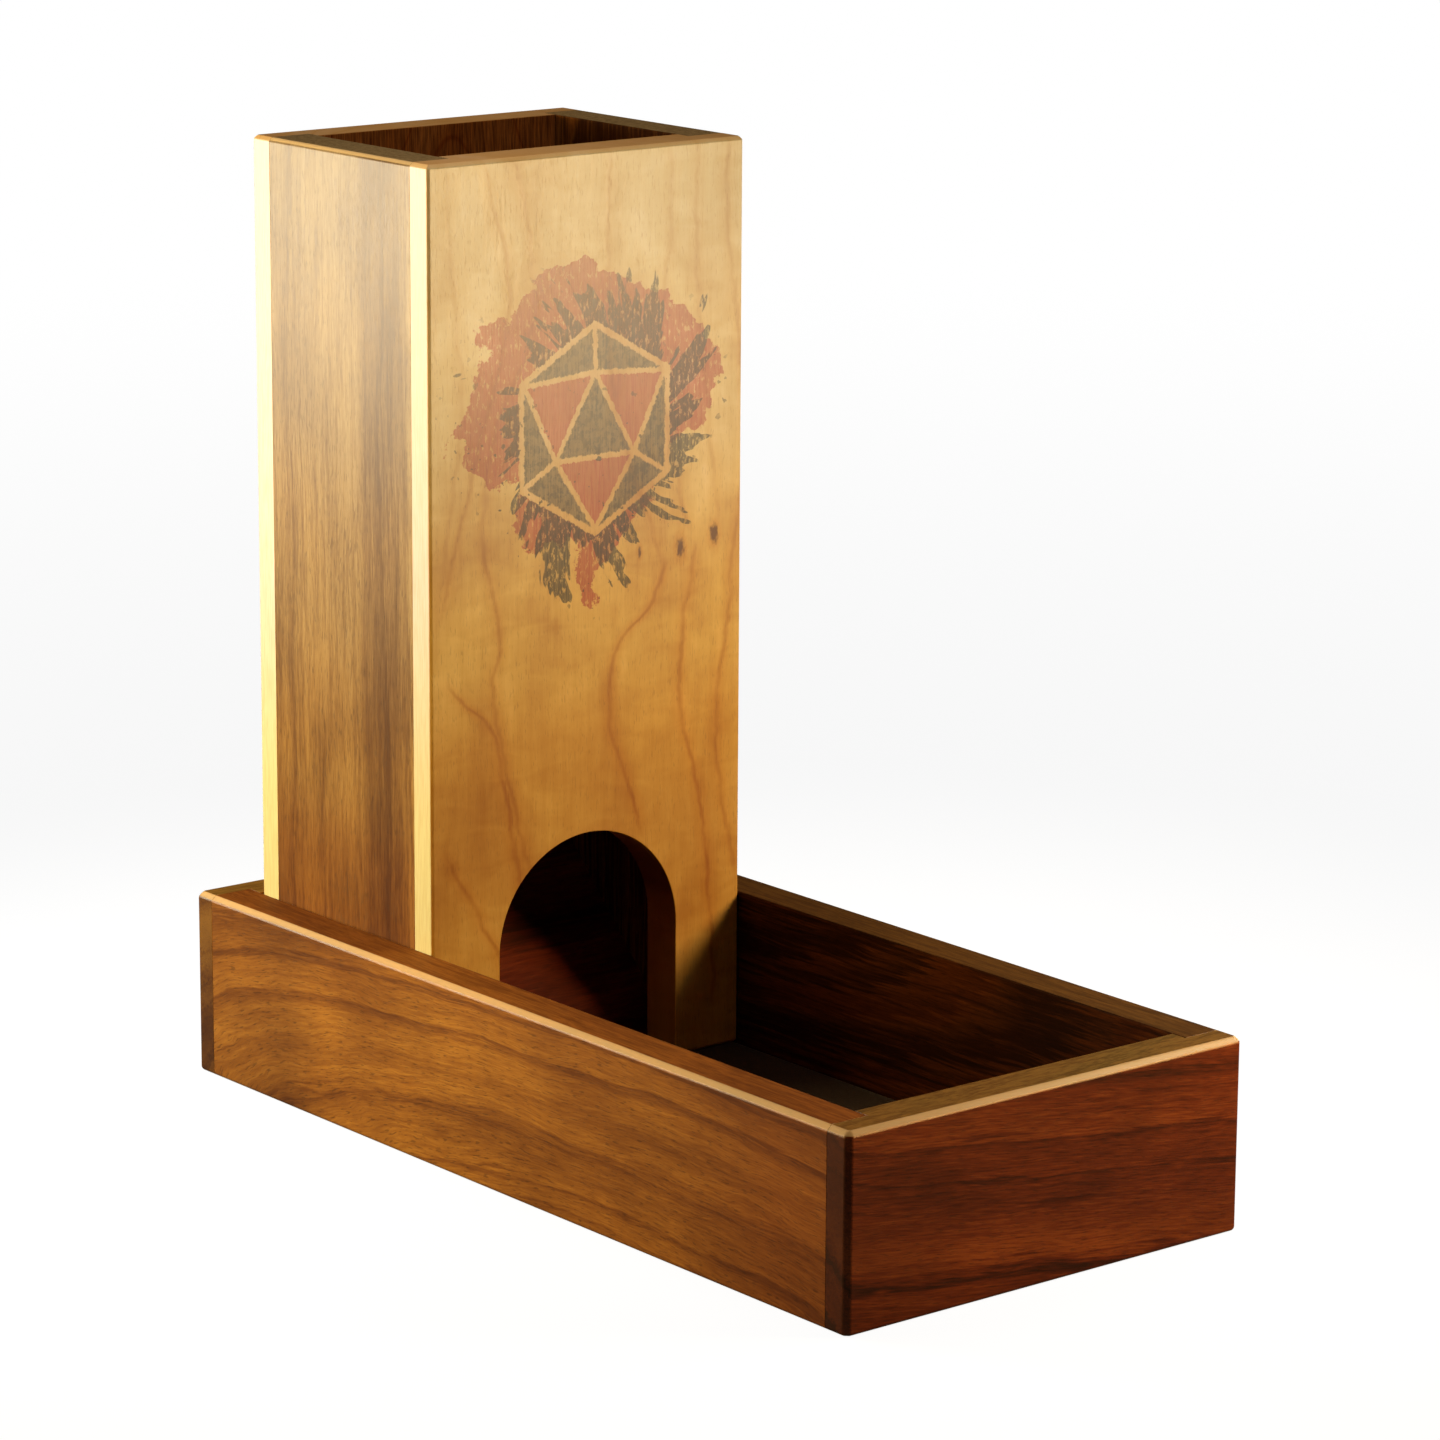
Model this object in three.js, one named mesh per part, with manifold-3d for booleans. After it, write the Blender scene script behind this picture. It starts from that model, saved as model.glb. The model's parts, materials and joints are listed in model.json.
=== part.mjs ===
// A hardwood dice tower in two units: an open walnut tray, and a hollow four-sided tower that stands
// in the back of the tray and lifts out. Dice drop in at the top of the tower, tumble over two baffles
// and roll down a ramp, out of an arch and into the tray.
//
// Millimetres, +Z up. The origin is the middle of the tray's underside. The front, where the arch
// looks, is -Y, and the tray's long sides run along Y.

import * as THREE from 'three';
import { mergeVertices } from 'three/addons/utils/BufferGeometryUtils.js';
import Module from 'manifold-3d';

const wasm = await Module();
wasm.setup();

// ---- Driving dimensions ----

const STOCK = 12.7; // thickness of every wall board, tray and tower
const THIN_STOCK = 6.35; // thickness of the tray's bottom panel and of the boards inside the tower
const LIP = 7.8; // wood left outside a rebate, which shows as the end strip at every corner
const GLUE_LINE = 0.05; // gap left between two faces that are glued together

const TRAY_WIDTH = 130;
const TRAY_LENGTH = 277.3;
const TRAY_HEIGHT = 51.2;
const TRAY_CHAMFER = 1.4; // 45 degree chamfer on the upper edges and the four corners
const TRAY_EASING = 0.7; // smaller chamfer on the lower edges
const LINER_THICKNESS = 2;
const LINER_MARGIN = 0.6; // gap between the liner and the tray's walls

const TOWER_SIDE_GAP = 0.3; // running gap between the tower and the tray's long sides
const TOWER_DEPTH = 79.1;
const TOWER_TOP = 259.9; // height of the tower's rim above the table
const TOWER_FRONT = 184.6; // from the tray's front end to the tower's front face
const TOWER_CHAMFER = 1.0; // on the rim
const TOWER_EASING = 0.6; // on the four corners and round the foot
const STANDING_GAP = 0.1; // between the tower's foot and the liner

const ARCH_WIDTH = 59.8;
const ARCH_TOP = 76.4; // above the table
const ARCH_SEGMENTS = 48; // straight pieces in the half circle

const BAFFLE_SLOPE = THREE.MathUtils.degToRad(45);
const DICE_GAP = 27; // clear way past the end of each baffle
const UPPER_BAFFLE_TOP = 205; // height where the upper baffle meets the back wall
const LOWER_BAFFLE_TOP = 150; // height where the lower baffle meets the front wall
const RAMP_NOSE = 1.5; // height of the ramp's blunt front edge
const BAFFLE_GAP = 0.1; // glue gap round the boards inside the tower

// ---- Sizes that follow from them ----

const TOWER_WIDTH = TRAY_WIDTH - 2 * (STOCK + TOWER_SIDE_GAP);
const TOWER_FOOT = THIN_STOCK + LINER_THICKNESS + STANDING_GAP;
const TOWER_HEIGHT = TOWER_TOP - TOWER_FOOT;
const TOWER_MIDDLE = TOWER_FRONT + TOWER_DEPTH / 2 - TRAY_LENGTH / 2;
const TOWER_INNER_WIDTH = TOWER_WIDTH - 2 * STOCK;
const TOWER_INNER_DEPTH = TOWER_DEPTH - 2 * STOCK;
const OVERCUT = 5; // how far a cutting block runs past the face that it cuts

const TRAY_OUTSIDE = {
  width: TRAY_WIDTH,
  depth: TRAY_LENGTH,
  height: TRAY_HEIGHT,
  cornerCut: TRAY_CHAMFER,
  topCut: TRAY_CHAMFER,
  bottomCut: TRAY_EASING,
};
const TOWER_OUTSIDE = {
  width: TOWER_WIDTH,
  depth: TOWER_DEPTH,
  height: TOWER_HEIGHT,
  cornerCut: TOWER_EASING,
  topCut: TOWER_CHAMFER,
  bottomCut: TOWER_EASING,
};

// ---- Woods and cloth ----

const walnut = new THREE.MeshStandardMaterial({ color: 0x8a4f22, roughness: 0.4, metalness: 0 });
const maple = new THREE.MeshStandardMaterial({ color: 0xdcae6c, roughness: 0.38, metalness: 0 });
const felt = new THREE.MeshStandardMaterial({ color: 0x2c1a12, roughness: 0.95, metalness: 0 });

// ---- Solids ----

// A solid that can be cut and joined, from a closed geometry.
function solidOf(geometry) {
  const bare = geometry.index ? geometry.toNonIndexed() : geometry.clone();
  bare.deleteAttribute('normal');
  bare.deleteAttribute('uv');
  const merged = mergeVertices(bare, 1e-5);
  const vertProperties = new Float32Array(merged.attributes.position.array);
  const triVerts = new Uint32Array(merged.index.array);
  return new wasm.Manifold(new wasm.Mesh({ numProp: 3, vertProperties, triVerts }));
}

// A flat-shaded geometry from a solid that has been cut to shape.
function geometryOf(solid) {
  const { vertProperties, triVerts } = solid.getMesh();
  const geometry = new THREE.BufferGeometry();
  geometry.setAttribute('position', new THREE.BufferAttribute(vertProperties, 3));
  geometry.setIndex(new THREE.BufferAttribute(triVerts, 1));
  return geometry;
}

// A rectangular block between two opposite corners, as a solid.
function block(low, high) {
  const size = high.map((value, axis) => value - low[axis]);
  const middle = high.map((value, axis) => (value + low[axis]) / 2);
  return solidOf(new THREE.BoxGeometry(...size).translate(...middle));
}

// A rectangle round the origin with its corners cut off at 45 degrees.
function cutRectangle(width, depth, cut) {
  const x = width / 2;
  const y = depth / 2;
  return new THREE.Shape([
    new THREE.Vector2(cut - x, -y),
    new THREE.Vector2(x - cut, -y),
    new THREE.Vector2(x, cut - y),
    new THREE.Vector2(x, y - cut),
    new THREE.Vector2(x - cut, y),
    new THREE.Vector2(cut - x, y),
    new THREE.Vector2(-x, y - cut),
    new THREE.Vector2(-x, cut - y),
  ]);
}

// A block with cut corners and the same chamfer round its top and bottom. It stands on z = bottom,
// over a point (x, y).
function chamferedBlock(width, depth, height, cornerCut, edgeCut, x, y, bottom) {
  const geometry = new THREE.ExtrudeGeometry(cutRectangle(width, depth, cornerCut), {
    depth: height - 2 * edgeCut,
    bevelEnabled: true,
    bevelThickness: edgeCut,
    bevelSize: edgeCut,
    bevelOffset: -edgeCut,
    bevelSegments: 1,
  });
  return solidOf(geometry.translate(x, y, bottom + edgeCut));
}

// The outside of one unit, standing on z = 0 over a point (x, y): the space its boards are trimmed to,
// which carries every outer chamfer. The top edge has one chamfer and the bottom edge another.
function outside({ width, depth, height, cornerCut, topCut, bottomCut }, x, y) {
  const tall = height + OVERCUT;
  const topPart = chamferedBlock(width, depth, tall, cornerCut, topCut, x, y, -OVERCUT);
  const bottomPart = chamferedBlock(width, depth, tall, cornerCut, bottomCut, x, y, 0);
  return topPart.intersect(bottomPart);
}

// A board whose end section is an outline in the YZ plane, centred on x = 0.
function boardAcross(outline, width) {
  const shape = new THREE.Shape(outline.map(([y, z]) => new THREE.Vector2(y, z)));
  const geometry = new THREE.ExtrudeGeometry(shape, { depth: width, bevelEnabled: false });
  const turn = new THREE.Matrix4().makeBasis(
    new THREE.Vector3(0, 1, 0),
    new THREE.Vector3(0, 0, 1),
    new THREE.Vector3(1, 0, 0),
  );
  return geometry.applyMatrix4(turn).translate(-width / 2, 0, 0);
}

function piece(name, geometry, material) {
  const mesh = new THREE.Mesh(geometry, material);
  mesh.name = name;
  return mesh;
}

// ---- Tray ----

// An end board, seen with its outer face at -Y and standing on z = 0. Rebates take the long sides at
// both ends and the bottom panel along the lower edge.
function trayEndBoard() {
  const half = STOCK / 2;
  const rebateFace = LIP - half;
  const shoulder = TRAY_WIDTH / 2 - STOCK - GLUE_LINE;
  const reach = TRAY_WIDTH / 2 + OVERCUT;
  const beyond = half + OVERCUT;
  const bottomRebate = THIN_STOCK + GLUE_LINE;
  const board = block([-TRAY_WIDTH / 2, -half, 0], [TRAY_WIDTH / 2, half, TRAY_HEIGHT])
    .subtract(block([shoulder, rebateFace, -OVERCUT], [reach, beyond, TRAY_HEIGHT + OVERCUT]))
    .subtract(block([-reach, rebateFace, -OVERCUT], [-shoulder, beyond, TRAY_HEIGHT + OVERCUT]))
    .subtract(block([-reach, rebateFace, -OVERCUT], [reach, beyond, bottomRebate]))
    .intersect(outside(TRAY_OUTSIDE, 0, TRAY_LENGTH / 2 - half));
  return geometryOf(board);
}

// A long side board, seen with its outer face at -X. It fits between the two end boards' lips, and
// the bottom panel sits in a rebate along its lower edge.
function traySideBoard() {
  const half = STOCK / 2;
  const halfLength = TRAY_LENGTH / 2 - LIP - GLUE_LINE;
  const bottomRebate = block(
    [LIP - half, -TRAY_LENGTH, -OVERCUT],
    [half + OVERCUT, TRAY_LENGTH, THIN_STOCK + GLUE_LINE],
  );
  const board = block([-half, -halfLength, 0], [half, halfLength, TRAY_HEIGHT])
    .subtract(bottomRebate)
    .intersect(outside(TRAY_OUTSIDE, TRAY_WIDTH / 2 - half, 0));
  return geometryOf(board);
}

function trayFloor() {
  const width = TRAY_WIDTH - 2 * (LIP + GLUE_LINE);
  const length = TRAY_LENGTH - 2 * (LIP + GLUE_LINE);
  return new THREE.BoxGeometry(width, length, THIN_STOCK).translate(0, 0, THIN_STOCK / 2);
}

function trayLiner() {
  const width = TRAY_WIDTH - 2 * (STOCK + LINER_MARGIN);
  const length = TRAY_LENGTH - 2 * (STOCK + LINER_MARGIN);
  const thickness = LINER_THICKNESS - GLUE_LINE;
  return new THREE.BoxGeometry(width, length, thickness).translate(0, 0, thickness / 2);
}

function makeTray() {
  const tray = new THREE.Group();
  const sideX = (TRAY_WIDTH - STOCK) / 2;
  const endY = (TRAY_LENGTH - STOCK) / 2;

  const leftSide = piece('tray_left_side', traySideBoard(), walnut);
  leftSide.position.x = -sideX;
  const rightSide = piece('tray_right_side', traySideBoard(), walnut);
  rightSide.position.x = sideX;
  rightSide.rotation.z = Math.PI;

  const frontEnd = piece('tray_front_end', trayEndBoard(), walnut);
  frontEnd.position.y = -endY;
  const backEnd = piece('tray_back_end', trayEndBoard(), walnut);
  backEnd.position.y = endY;
  backEnd.rotation.z = Math.PI;

  const floor = piece('tray_floor', trayFloor(), walnut);
  const liner = piece('tray_liner', trayLiner(), felt);
  liner.position.z = THIN_STOCK + GLUE_LINE;

  tray.add(leftSide, rightSide, frontEnd, backEnd, floor, liner);
  return tray;
}

// ---- Tower ----

// The arch as a solid to cut with: a doorway from below the foot up to a half circle.
function archCutter() {
  const radius = ARCH_WIDTH / 2;
  const springLine = ARCH_TOP - TOWER_FOOT - radius;
  const doorway = new THREE.Shape();
  doorway.moveTo(-radius, -OVERCUT);
  doorway.lineTo(radius, -OVERCUT);
  doorway.lineTo(radius, springLine);
  doorway.absarc(0, springLine, radius, 0, Math.PI, false);
  doorway.closePath();
  const depth = STOCK + 2 * OVERCUT;
  const geometry = new THREE.ExtrudeGeometry(doorway, {
    depth,
    bevelEnabled: false,
    curveSegments: ARCH_SEGMENTS / 2, // an arc is cut into twice this many
  });
  return solidOf(geometry.rotateX(Math.PI / 2).translate(0, depth / 2, 0));
}

// A maple panel as wide as the tower, seen with its outer face at -Y and standing on z = 0. Rebates
// down both edges take the walnut sides.
function towerWidePanel() {
  const half = STOCK / 2;
  const shoulder = TOWER_INNER_WIDTH / 2 - GLUE_LINE;
  const reach = TOWER_WIDTH / 2 + OVERCUT;
  const beyond = half + OVERCUT;
  const rebateFace = LIP - half;
  return block([-TOWER_WIDTH / 2, -half, 0], [TOWER_WIDTH / 2, half, TOWER_HEIGHT])
    .subtract(block([shoulder, rebateFace, -OVERCUT], [reach, beyond, TOWER_HEIGHT + OVERCUT]))
    .subtract(block([-reach, rebateFace, -OVERCUT], [-shoulder, beyond, TOWER_HEIGHT + OVERCUT]))
    .intersect(outside(TOWER_OUTSIDE, 0, TOWER_DEPTH / 2 - half));
}

// A walnut side panel, seen with its outer face at -X. It fits between the two maple lips.
function towerSidePanel() {
  const half = STOCK / 2;
  const halfDepth = TOWER_DEPTH / 2 - LIP - GLUE_LINE;
  const panel = block([-half, -halfDepth, 0], [half, halfDepth, TOWER_HEIGHT])
    .intersect(outside(TOWER_OUTSIDE, TOWER_WIDTH / 2 - half, 0));
  return geometryOf(panel);
}

// A baffle glued to the inside of the wall at +Y. It slopes down towards -Y and stops short of the
// far wall by the gap that dice fall through. Its top edge against the wall is at z = 0.
function baffle() {
  const wall = TOWER_INNER_DEPTH / 2 - BAFFLE_GAP;
  const tip = DICE_GAP - TOWER_INNER_DEPTH / 2;
  const fall = (wall - tip) * Math.tan(BAFFLE_SLOPE);
  const uprightThickness = THIN_STOCK / Math.cos(BAFFLE_SLOPE);
  const outline = [
    [wall, 0],
    [tip, -fall],
    [tip, -fall - uprightThickness],
    [wall, -uprightThickness],
  ];
  return boardAcross(outline, TOWER_INNER_WIDTH - 2 * BAFFLE_GAP);
}

// The exit ramp: from the back wall down to the arch, where a blunt nose stands level with the foot.
function exitRamp() {
  const back = TOWER_INNER_DEPTH / 2 - BAFFLE_GAP;
  const front = -back;
  const slope = Math.tan(BAFFLE_SLOPE);
  const uprightThickness = THIN_STOCK / Math.cos(BAFFLE_SLOPE);
  const crest = RAMP_NOSE + (back - front) * slope;
  const heel = front + (uprightThickness - RAMP_NOSE) / slope;
  const outline = [
    [front, 0],
    [heel, 0],
    [back, crest - uprightThickness],
    [back, crest],
    [front, RAMP_NOSE],
  ];
  return boardAcross(outline, TOWER_INNER_WIDTH - 2 * BAFFLE_GAP);
}

function makeTower() {
  const tower = new THREE.Group();
  const sideX = (TOWER_WIDTH - STOCK) / 2;
  const panelY = (TOWER_DEPTH - STOCK) / 2;

  const frontPanel = piece('tower_front_panel', geometryOf(towerWidePanel().subtract(archCutter())), maple);
  frontPanel.position.y = -panelY;
  const backPanel = piece('tower_back_panel', geometryOf(towerWidePanel()), maple);
  backPanel.position.y = panelY;
  backPanel.rotation.z = Math.PI;

  const leftSide = piece('tower_left_side', towerSidePanel(), walnut);
  leftSide.position.x = -sideX;
  const rightSide = piece('tower_right_side', towerSidePanel(), walnut);
  rightSide.position.x = sideX;
  rightSide.rotation.z = Math.PI;

  const upperBaffle = piece('upper_baffle', baffle(), walnut);
  upperBaffle.position.z = UPPER_BAFFLE_TOP - TOWER_FOOT;
  const lowerBaffle = piece('lower_baffle', baffle(), walnut);
  lowerBaffle.position.z = LOWER_BAFFLE_TOP - TOWER_FOOT;
  lowerBaffle.rotation.z = Math.PI;
  const ramp = piece('exit_ramp', exitRamp(), walnut);

  tower.add(frontPanel, backPanel, leftSide, rightSide, upperBaffle, lowerBaffle, ramp);
  tower.position.set(0, TOWER_MIDDLE, TOWER_FOOT);
  return tower;
}

const diceTower = new THREE.Group();
diceTower.add(makeTray(), makeTower());

export default diceTower;
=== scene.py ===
"""Looks for the hardwood dice tower: walnut and maple boards, a felt liner and a printed emblem.

Every wooden piece is built on a copy of its CAD board: the copy is cleaned to plain faces, its edges
are rounded, and a solid wood grain runs through it, so that faces, edges and end grain agree.
Shapes are in metres in the frame of the CAD. Inside the materials, lengths are in millimetres.
"""

import json
import math

import bmesh
import bpy
from mathutils import Matrix, Vector, noise
from mathutils.bvhtree import BVHTree


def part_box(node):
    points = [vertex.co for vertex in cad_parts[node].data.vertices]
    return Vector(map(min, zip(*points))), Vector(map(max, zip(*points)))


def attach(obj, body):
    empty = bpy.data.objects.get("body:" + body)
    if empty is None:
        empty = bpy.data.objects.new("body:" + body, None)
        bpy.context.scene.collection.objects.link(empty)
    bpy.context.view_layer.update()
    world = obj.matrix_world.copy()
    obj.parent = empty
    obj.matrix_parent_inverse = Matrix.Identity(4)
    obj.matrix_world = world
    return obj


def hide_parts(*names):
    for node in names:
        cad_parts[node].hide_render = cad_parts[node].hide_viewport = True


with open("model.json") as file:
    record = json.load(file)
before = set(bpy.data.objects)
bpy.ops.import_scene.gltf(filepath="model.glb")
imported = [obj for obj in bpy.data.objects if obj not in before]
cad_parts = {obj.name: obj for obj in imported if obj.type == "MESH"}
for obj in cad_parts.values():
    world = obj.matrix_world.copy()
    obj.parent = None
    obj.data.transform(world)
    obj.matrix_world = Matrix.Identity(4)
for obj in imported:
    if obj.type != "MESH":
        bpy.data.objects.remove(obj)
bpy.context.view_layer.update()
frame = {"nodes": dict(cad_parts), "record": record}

MM = 0.001
BODIES = frame["record"]["behaviour"]["bodies"]
AXES = "xyz"
UP = AXES.index("z")
WHITE = (1.0, 1.0, 1.0)


# ------------------------ shader graphs


class Graph:
    """Adds shader nodes to one material and joins them. A number or a socket does for any input."""

    def __init__(self, name):
        self.material = bpy.data.materials.new(name)
        self.material.use_nodes = True
        self.nodes = self.material.node_tree.nodes
        self.links = self.material.node_tree.links
        self.nodes.clear()

    def node(self, kind, **settings):
        made = self.nodes.new(kind)
        for key, value in settings.items():
            setattr(made, key, value)
        return made

    def put(self, value, socket):
        """Joins a node's output to an input, or sets the input to a plain value."""
        if isinstance(value, bpy.types.NodeSocket):
            self.links.new(value, socket)
        else:
            socket.default_value = value

    def filled(self, made, *values, **named):
        """Fills a node's first inputs, and others by name with _ for a space. Gives its first output."""
        for value, socket in zip(values, made.inputs):
            self.put(value, socket)
        for name, value in named.items():
            self.put(value, made.inputs[name.replace("_", " ")])
        return made.outputs[0]

    def math(self, operation, *values):
        return self.filled(self.node("ShaderNodeMath", operation=operation), *values)

    def add(self, a, b):
        return self.math("ADD", a, b)

    def subtract(self, a, b):
        return self.math("SUBTRACT", a, b)

    def multiply(self, a, b):
        return self.math("MULTIPLY", a, b)

    def multiply_add(self, value, factor, extra):
        return self.math("MULTIPLY_ADD", value, factor, extra)

    def larger(self, a, b):
        return self.math("MAXIMUM", a, b)

    def absolute(self, value):
        return self.math("ABSOLUTE", value)

    def average(self, a, b):
        return self.multiply_add(a, 0.5, self.multiply(b, 0.5))

    def length(self, a, b):
        """The length of the flat vector (a, b)."""
        return self.math("SQRT", self.add(self.multiply(a, a), self.multiply(b, b)))

    def centred(self, value, weight):
        """A noise from 0 to 1 as an amount from -weight / 2 to weight / 2."""
        return self.multiply_add(value, weight, -0.5 * weight)

    def step(self, value, start, end, low=0.0, high=1.0):
        """A smooth step: low before start, high after end."""
        made = self.node("ShaderNodeMapRange", interpolation_type="SMOOTHSTEP")
        return self.filled(made, value, start, end, low, high)

    def vector(self, x, y, z):
        return self.filled(self.node("ShaderNodeCombineXYZ"), x, y, z)

    def parts(self, vector):
        made = self.node("ShaderNodeSeparateXYZ")
        self.put(vector, made.inputs[0])
        return made.outputs[0], made.outputs[1], made.outputs[2]

    def scaled(self, place, scales, offset):
        """A place as a vector, with its parts scaled and its last part moved by offset."""
        first, second, third = (self.multiply(part, scale) for part, scale in zip(place, scales))
        return self.vector(first, second, self.add(third, offset))

    def noise(self, vector, detail=2.0, roughness=0.5, distortion=0.0):
        """A noise of about one feature per unit, from 0 to 1."""
        return self.filled(
            self.node("ShaderNodeTexNoise"), Vector=vector, Scale=1.0,
            Detail=detail, Roughness=roughness, Distortion=distortion,
        )

    def noise_along(self, value, detail=2.0, roughness=0.5):
        """A noise along a line."""
        made = self.node("ShaderNodeTexNoise", noise_dimensions="1D")
        return self.filled(made, W=value, Scale=1.0, Detail=detail, Roughness=roughness)

    def noise_over(self, x, y, scales, layer, detail=2.0, roughness=0.5):
        """A noise over a plane. Each layer has a pattern of its own."""
        place = self.vector(self.multiply(x, scales[0]), self.multiply(y, scales[1]), layer)
        return self.noise(place, detail, roughness)

    def ramp(self, value, stops, interpolation="LINEAR"):
        """A colour ramp. Each stop is a position and a colour."""
        made = self.node("ShaderNodeValToRGB")
        made.color_ramp.interpolation = interpolation
        elements = made.color_ramp.elements
        while len(elements) < len(stops):
            elements.new(0.5)
        for element, (position, colour) in zip(elements, stops):
            element.position = position
            element.color = (*colour, 1.0)
        return self.filled(made, value)

    def mix(self, factor, a, b, blend="MIX"):
        """Mixes two colours."""
        made = self.node("ShaderNodeMix", data_type="RGBA", blend_type=blend)
        for key, value in (("Factor_Float", factor), ("A_Color", a), ("B_Color", b)):
            socket = next(s for s in made.inputs if s.identifier == key)
            if isinstance(value, tuple) and len(value) == 3:
                value = (*value, 1.0)
            self.put(value, socket)
        return next(s for s in made.outputs if s.identifier == "Result_Color")

    def covered(self, colour, where, share, layer):
        """The colour with a share of another one over it where a mask is 1."""
        return self.mix(self.multiply(where, share), colour, layer)

    def tinted(self, colour, tint, share=1.0):
        """The colour multiplied by a tint."""
        return self.mix(share, colour, tint, "MULTIPLY")

    def curve(self, value, points):
        """A smooth curve through (input, output) points, both from 0 to 1."""
        made = self.node("ShaderNodeFloatCurve")
        line = made.mapping.curves[0]
        while len(line.points) < len(points):
            line.points.new(0.5, 0.5)
        for spot, (place, height) in zip(line.points, points):
            spot.location = (place, height)
        made.mapping.update()
        return self.filled(made, Value=value)

    def position(self):
        """The place in the piece's own frame, in millimetres, as three sockets."""
        where = self.node("ShaderNodeTexCoord").outputs["Object"]
        made = self.node("ShaderNodeVectorMath", operation="SCALE")
        return self.parts(self.filled(made, where, Scale=1.0 / MM))

    def finish(self, colour, roughness, bump, bump_distance, **inputs):
        """The Principled shader and the output. bump is a height from 0 to 1."""
        relief = self.filled(self.node("ShaderNodeBump"), Distance=bump_distance, Height=bump)
        shader = self.filled(
            self.node("ShaderNodeBsdfPrincipled"), Base_Color=colour, Roughness=roughness,
            Normal=relief, **inputs,
        )
        return self.shown(shader)

    def shown(self, shader):
        """The material, with a shader as its surface."""
        output = self.node("ShaderNodeOutputMaterial")
        self.put(shader, output.inputs["Surface"])
        return self.material


# ------------------------ wood in general

# The painted shade of an inner face reaches this deep, and an edge this near a body's outline is worn
# and carries a painted highlight.
INNER_SKIN = 0.25
WEAR_REACH = 2.2
# A board's fade covers this distance on each side of its middle.
FADE_REACH = 150.0
# A board's dip is how much deeper the rings are at this distance from where they come closest.
DIP_REACH = 100.0
# Where a surface is dull, it is this much rougher and has lost this share of its polish.
DULL_ROUGHENING = 0.35
POLISH_LOST = 0.85
# The share of the rim colour on a rim, which is partly wear and partly a painted sheen, and the depth of
# the grain's relief.
RIM_SHARE = 0.70
WOOD_RELIEF = 0.02 * MM

# The streaks of grain in the painted shade of an inner face, as tints.
INNER_STREAKS = [(0.42, (0.45, 0.32, 0.28)), (0.50, (1.0, 0.9, 0.9)), (0.58, (1.70, 1.45, 1.30))]
RIM_MOTTLE = [(0.42, (0.70, 0.64, 0.56)), (0.50, WHITE), (0.58, (1.30, 1.28, 1.24))]


def body_of(node):
    return next(body for body, nodes in BODIES.items() if node in nodes)


def outline_of(body):
    """The lowest and highest x and y of a whole body, in millimetres."""
    lows, highs = zip(*(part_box(node) for node in BODIES[body]))
    return [
        (min(low[axis] for low in lows) / MM, max(high[axis] for high in highs) / MM) for axis in (0, 1)
    ]


class Board:
    """How the grain lies in one board. Sizes are in millimetres, measured from the board's middle.

    axes: the axis of the grain, of the board's width and of its thickness.
    palette: the wood's colours from dark to light, each with its tone from 0 to 1.
    seed: which stretch of the noises the board takes. spacing: about how far apart its rings are.
    heart: where the middle of the tree is, across the board and through it.
    slope: how far the grain drifts across the board for each millimetre along it.
    dip: where the rings come closest to the face, and how much deeper they are 100 mm from there.
    bend: how far slow noise pushes the rings about.
    lines, grain, bands: how strong the thin ring lines, the fibres and the broad bands are.
    fade: places along the grain, from low to high, each with a tint laid over the board there. On the
    maple panels and the tower's left side this tint is painted light.
    cloud: how strong the slow patches of light and dark are.
    flow: whether the fibres bend with the rings. flecks: how strong the larger dark flecks are.
    sloping: a board inside the tower, which has no rim.
    inside: which way the board's inner face looks through its thickness, +1 or -1, and the tint of the
    painted shade on that face.
    rim: the colour of the board's upper edge, partly its wear and partly a painted sheen.
    rounding: how far its free edges are rounded.
    """

    def __init__(self, node, axes, palette, seed, heart, spacing, slope=0.0, dip=(0, 0), bend=8.0,
                 lines=0.5, grain=1.0, bands=1.7, fade=None, cloud=1.0, flow=False, flecks=0.0,
                 sloping=False, inside=None, rim=(0.158, 0.110, 0.028), rounding=0.40):
        self.node = node
        self.axes = tuple(AXES.index(letter) for letter in axes)
        self.palette = palette
        self.seed = seed
        self.heart = heart
        self.spacing = spacing
        self.slope = slope
        self.dip = dip
        self.bend = bend
        self.lines = lines
        self.grain = grain
        self.bands = bands
        self.fade = fade
        self.cloud = cloud
        self.flow = flow
        self.flecks = flecks
        self.sloping = sloping
        self.inside = inside
        self.rim = rim
        self.rounding = rounding
        low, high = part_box(node)
        self.outline = outline_of(body_of(node))
        self.middle = (low + high) / (2 * MM)
        self.width = (high - low)[self.axes[1]] / MM
        self.thickness = (high - low)[self.axes[2]] / MM


def board_coordinates(graph, board):
    """The place along the grain, across it and through the board."""
    position = graph.position()
    along, across, through = (graph.subtract(position[axis], board.middle[axis]) for axis in board.axes)
    if board.slope:
        across = graph.subtract(across, graph.multiply(along, board.slope))
    return along, across, through


def ring_distance(graph, board, place, detail=4.0):
    """Distance from the heart of the tree, bent by slow noise. Growth rings follow it."""
    along, across, through = place
    side = graph.subtract(across, board.heart[0])
    depth = graph.subtract(through, board.heart[1])
    if board.dip[1]:
        reach = graph.multiply(graph.subtract(along, board.dip[0]), 1.0 / DIP_REACH)
        deeper = math.copysign(board.dip[1], -board.heart[1])
        depth = graph.multiply_add(graph.multiply(reach, reach), deeper, depth)
    slow = graph.noise(graph.scaled(place, (0.011, 0.045, 0.03), board.seed), detail, 0.55)
    return graph.add(graph.length(side, depth), graph.centred(slow, board.bend))


def fibres(graph, place, seed, width, length, detail=3.0):
    """Long thin streaks that run with the grain."""
    return graph.noise(graph.scaled(place, (1.0 / length, 1.0 / width, 1.0 / width), seed), detail, 0.6)


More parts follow.
